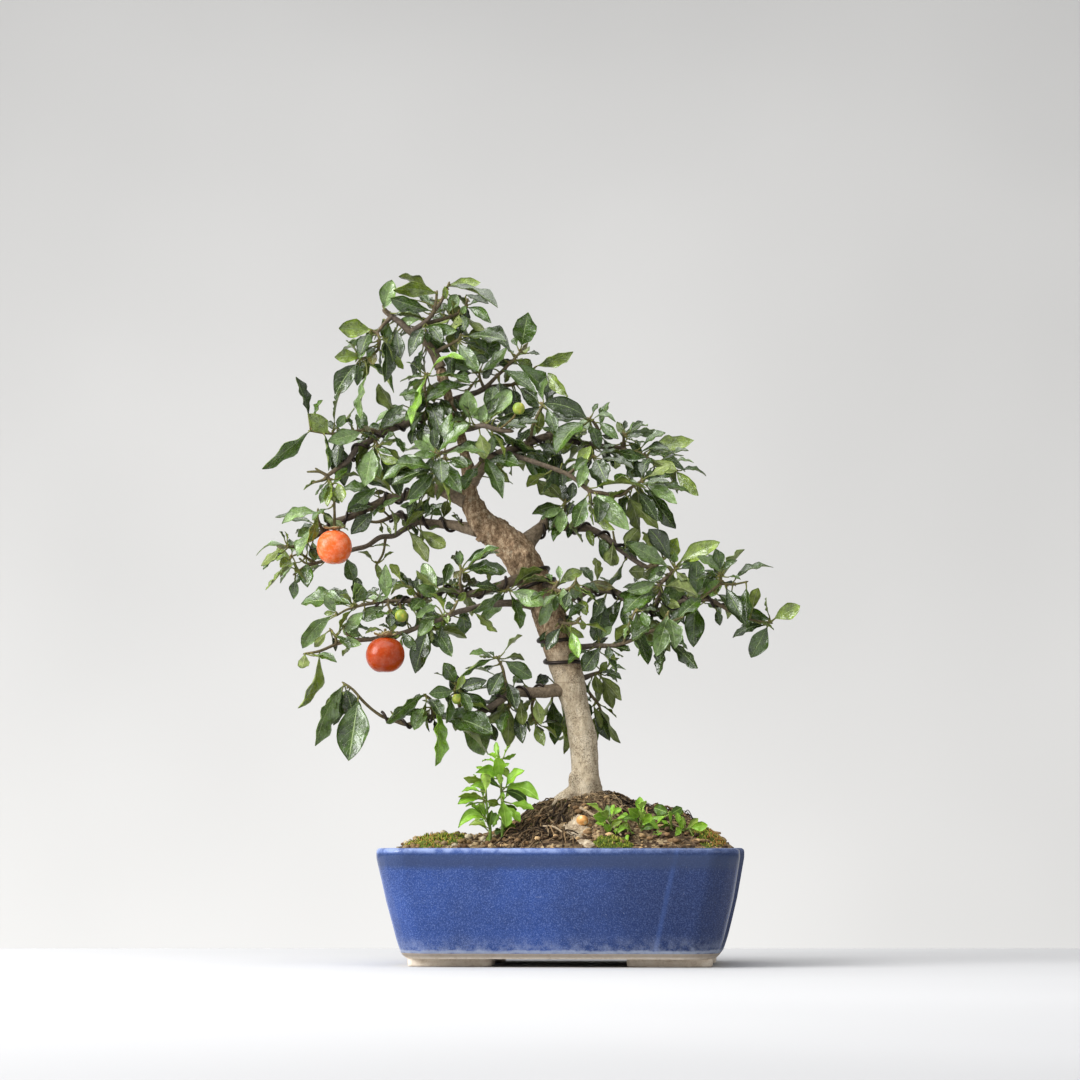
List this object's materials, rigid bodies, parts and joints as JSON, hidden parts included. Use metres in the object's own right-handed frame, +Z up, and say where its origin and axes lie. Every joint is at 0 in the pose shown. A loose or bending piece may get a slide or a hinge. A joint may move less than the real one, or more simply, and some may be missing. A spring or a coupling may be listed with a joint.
{
  "type": "bonsai tree in a pot",
  "caption": "Persimmon bonsai with wired limbs, leaves and hanging fruit in a rectangular glazed pot with soil and moss.",
  "frame": {"origin": "centre of the footprint, on the ground under the pot's feet", "axes": "+X along the pot's length to the viewer's right, +Y from the front of the pot to its back, +Z up"},
  "size_m": [0.407, 0.19, 0.517],
  "materials": {
    "glaze": "blue speckled glaze over clay, bare clay at the feet",
    "screen": "woven drain mesh",
    "soil": "fine dark potting soil",
    "moss": "short moss",
    "pebble": "smooth pebble",
    "bark": "speckled bark",
    "wire": "dark annealed training wire",
    "leaf": "waxy green leaf on brown twigs",
    "shoot": "soft light green leaf",
    "ripe": "waxy orange fruit skin",
    "calyx": "dry papery calyx",
    "unripe": "green unripe fruit skin"
  },
  "bodies": {
    "root": {"calyx_left": "calyx", "calyx_low": "calyx", "crown": "leaf", "drain_screen_left": "screen", "drain_screen_right": "screen", "fruit_green_left": "unripe", "fruit_green_low": "unripe", "fruit_green_upper": "unripe", "fruit_left": "ripe", "fruit_low": "ripe", "fruit_yellow_bottom": "unripe", "limb_back_left": "leaf", "limb_back_low": "leaf", "limb_back_middle": "leaf", "limb_left_bottom": "leaf", "limb_left_low": "leaf", "limb_left_lower": "leaf", "limb_left_middle": "leaf", "limb_left_top": "leaf", "limb_left_upper": "leaf", "limb_right_low": "leaf", "limb_right_middle": "leaf", "limb_right_top": "leaf", "limb_right_under": "leaf", "moss_left": "moss", "moss_middle": "moss", "moss_right": "moss", "pebble": "pebble", "pot": "glaze", "seedling_short": "shoot", "seedling_tall": "shoot", "shoot_middle": "leaf", "shoot_upper": "leaf", "soil": "soil", "spray_front": "leaf", "spray_front_left": "leaf", "spray_front_low": "leaf", "spray_right_bottom": "leaf", "spray_right_front": "leaf", "trunk": "bark", "weed_clump": "shoot", "weed_middle": "shoot", "weed_right": "shoot", "wire_left_bottom": "wire", "wire_left_low": "wire", "wire_left_middle": "wire", "wire_left_top": "wire", "wire_left_upper": "wire", "wire_right_low": "wire", "wire_right_middle": "wire", "wire_right_top": "wire", "wire_trunk_high": "wire", "wire_trunk_low": "wire"}
  },
  "joints": []
}
